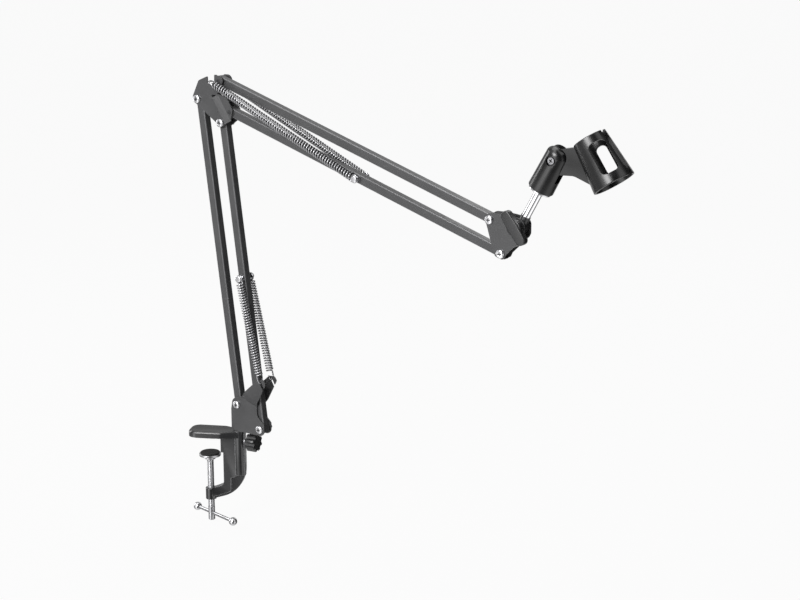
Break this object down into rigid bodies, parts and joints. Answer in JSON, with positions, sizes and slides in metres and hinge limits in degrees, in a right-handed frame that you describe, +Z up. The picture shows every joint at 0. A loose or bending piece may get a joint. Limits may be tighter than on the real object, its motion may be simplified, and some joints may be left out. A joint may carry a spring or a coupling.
{
  "type": "microphone boom arm",
  "caption": "Desk-clamp microphone boom arm: square-tube parallelogram links balanced by tension springs, with a swivel base, tilting stud and slit cup clip.",
  "frame": {"origin": "On the clamp screw axis at the underside of the upper jaw pad, where the desk top meets it.", "axes": "+Z up along the clamp screw; -X out of the clamp mouth, toward the desk; the arm swings about the upright axis at +X, and in the stored pose its plane is turned from +X toward -Y."},
  "size_m": [0.5265, 0.2608, 0.5367],
  "materials": {
    "cast_paint": "satin black enamel on a casting",
    "sheet_paint": "satin black powder coat",
    "tube_paint": "satin black powder coat",
    "black_fastener": "black zinc",
    "spring_steel": "bright zinc on wire",
    "bright_steel": "bright zinc",
    "stud_chrome": "polished plating",
    "screw_steel": "bright zinc",
    "black_plastic": "fine-grained moulding",
    "clip_plastic": "fine-grained moulding",
    "nylon": "black nylon",
    "pad_rubber": "matt rubber"
  },
  "bodies": {
    "clamp": {"clamp_frame": "cast_paint", "jaw_pad": "pad_rubber"},
    "foot": {"pressure_foot": "screw_steel", "foot_pad": "pad_rubber"},
    "screw": {"clamp_screw": "screw_steel"},
    "handle_bar": {"t_bar": "screw_steel", "t_bar_balls": "screw_steel"},
    "lock_stud": {"lock_stud": "screw_steel"},
    "lock_knob": {"lock_knob": "black_plastic"},
    "base": {"base_bracket": "sheet_paint", "swivel_pin": "bright_steel", "swivel_washer": "nylon", "base_bolts": "bright_steel", "base_nuts": "bright_steel", "base_bushes": "nylon", "lower_spring_front": "spring_steel", "lower_spring_rear": "spring_steel"},
    "lower_front": {"lower_front_tube": "tube_paint", "lower_spring_pin": "bright_steel"},
    "lower_rear": {"lower_rear_tube": "tube_paint"},
    "elbow": {"elbow_front_plate": "sheet_paint", "elbow_rear_plate": "sheet_paint", "elbow_bolts": "bright_steel", "elbow_nuts": "bright_steel", "elbow_pins": "black_fastener", "elbow_bushes": "nylon", "upper_spring_front": "spring_steel", "upper_spring_rear": "spring_steel"},
    "upper_bottom": {"upper_bottom_tube": "tube_paint", "upper_spring_pin": "bright_steel"},
    "upper_top": {"upper_top_tube": "tube_paint"},
    "head": {"head_bracket": "sheet_paint", "head_bolts": "bright_steel", "head_nuts": "bright_steel", "head_bushes": "nylon", "tilt_bolt": "screw_steel"},
    "tilt_washer": {"tilt_washer": "screw_steel"},
    "tilt_knob": {"tilt_knob": "black_plastic"},
    "stud": {"stud_knuckle": "cast_paint", "mic_stud": "stud_chrome"},
    "clip_base": {"clip_base": "clip_plastic", "clip_insert": "bright_steel", "hinge_screw": "bright_steel", "hinge_nut": "bright_steel"},
    "clip_cup": {"clip_cup": "clip_plastic"}
  },
  "joints": [
    {"name": "foot_slide", "type": "slide", "parent": "clamp", "child": "foot", "axis": [0, 0, 1], "range_m": [-0.033, 0.012]},
    {"name": "screw_turn", "type": "hinge", "parent": "foot", "child": "screw", "pos_m": [0, 0, -0.06], "axis": [0, 0, 1], "range_deg": [-9504, 3456]},
    {"name": "bar_slide", "type": "slide", "parent": "screw", "child": "handle_bar", "axis": [0.788, -0.6157, 0], "range_m": [-0.0332, 0.0192]},
    {"name": "lock_stud_slide", "type": "slide", "parent": "clamp", "child": "lock_stud", "axis": [0.9563, -0.2924, 0], "range_m": [0, 0.000801]},
    {"name": "lock_knob_turn", "type": "hinge", "parent": "lock_stud", "child": "lock_knob", "pos_m": [0.037, 0, -0.0035], "axis": [0.9563, -0.2924, 0], "range_deg": [0, 360]},
    {"name": "swivel", "type": "hinge", "parent": "clamp", "child": "base", "pos_m": [0.037, 0, 0.0095], "axis": [0, 0, 1], "continuous": true},
    {"name": "lower_arm_lean", "type": "hinge", "parent": "base", "child": "lower_front", "pos_m": [0.07035, -0.01555, 0.0182], "axis": [0.4226, 0.9063, 0], "range_deg": [-17, 62], "deforming": ["lower_spring_front", "lower_spring_rear"]},
    {"name": "lower_rear_lean", "type": "hinge", "parent": "base", "child": "lower_rear", "pos_m": [0.03972, -0.00127, 0.0433], "axis": [0.4226, 0.9063, 0], "range_deg": [-17, 62]},
    {"name": "elbow_level", "type": "hinge", "parent": "lower_front", "child": "elbow", "pos_m": [0.02753, 0.00442, 0.3771], "axis": [0.4226, 0.9063, 0], "range_deg": [-62, 17]},
    {"name": "upper_arm_drop", "type": "hinge", "parent": "elbow", "child": "upper_bottom", "pos_m": [0.03859, -0.00074, 0.3897], "axis": [0.4226, 0.9063, 0], "range_deg": [-73, 28], "deforming": ["upper_spring_front", "upper_spring_rear"]},
    {"name": "upper_top_drop", "type": "hinge", "parent": "elbow", "child": "upper_top", "pos_m": [0.0259, 0.00518, 0.4242], "axis": [0.4226, 0.9063, 0], "range_deg": [-73, 28]},
    {"name": "head_level", "type": "hinge", "parent": "upper_bottom", "child": "head", "pos_m": [0.36624, -0.15352, 0.26944], "axis": [0.4226, 0.9063, 0], "range_deg": [-28, 73]},
    {"name": "tilt_washer_slide", "type": "slide", "parent": "head", "child": "tilt_washer", "axis": [-0.4226, -0.9063, 0], "range_m": [0, 0.001]},
    {"name": "tilt_knob_turn", "type": "hinge", "parent": "tilt_washer", "child": "tilt_knob", "pos_m": [0.38391, -0.16177, 0.29994], "axis": [-0.4226, -0.9063, 0], "range_deg": [0, 360]},
    {"name": "stud_tilt", "type": "hinge", "parent": "head", "child": "stud", "pos_m": [0.38391, -0.16177, 0.29994], "axis": [0.4226, 0.9063, 0], "range_deg": [-30, 95]},
    {"name": "clip_turn", "type": "hinge", "parent": "stud", "child": "clip_base", "pos_m": [0.38391, -0.16177, 0.29994], "axis": [0.4394, -0.2049, 0.8746], "range_deg": [-90, 90]},
    {"name": "cup_tilt", "type": "hinge", "parent": "clip_base", "child": "clip_cup", "pos_m": [0.42038, -0.17877, 0.37253], "axis": [0.4226, 0.9063, 0], "range_deg": [-75, 38]}
  ],
  "couplings": [
    {"joint": "foot_slide", "follows": "screw_turn", "m_per_rad": 0.00019894},
    {"joint": "lock_stud_slide", "follows": "lock_knob_turn", "m_per_rad": 0.00012732},
    {"joint": "lower_rear_lean", "follows": "lower_arm_lean", "ratio": 1},
    {"joint": "elbow_level", "follows": "lower_arm_lean", "ratio": -1},
    {"joint": "upper_top_drop", "follows": "upper_arm_drop", "ratio": 1},
    {"joint": "head_level", "follows": "upper_arm_drop", "ratio": -1},
    {"joint": "tilt_washer_slide", "follows": "tilt_knob_turn", "m_per_rad": 0.00015915}
  ]
}
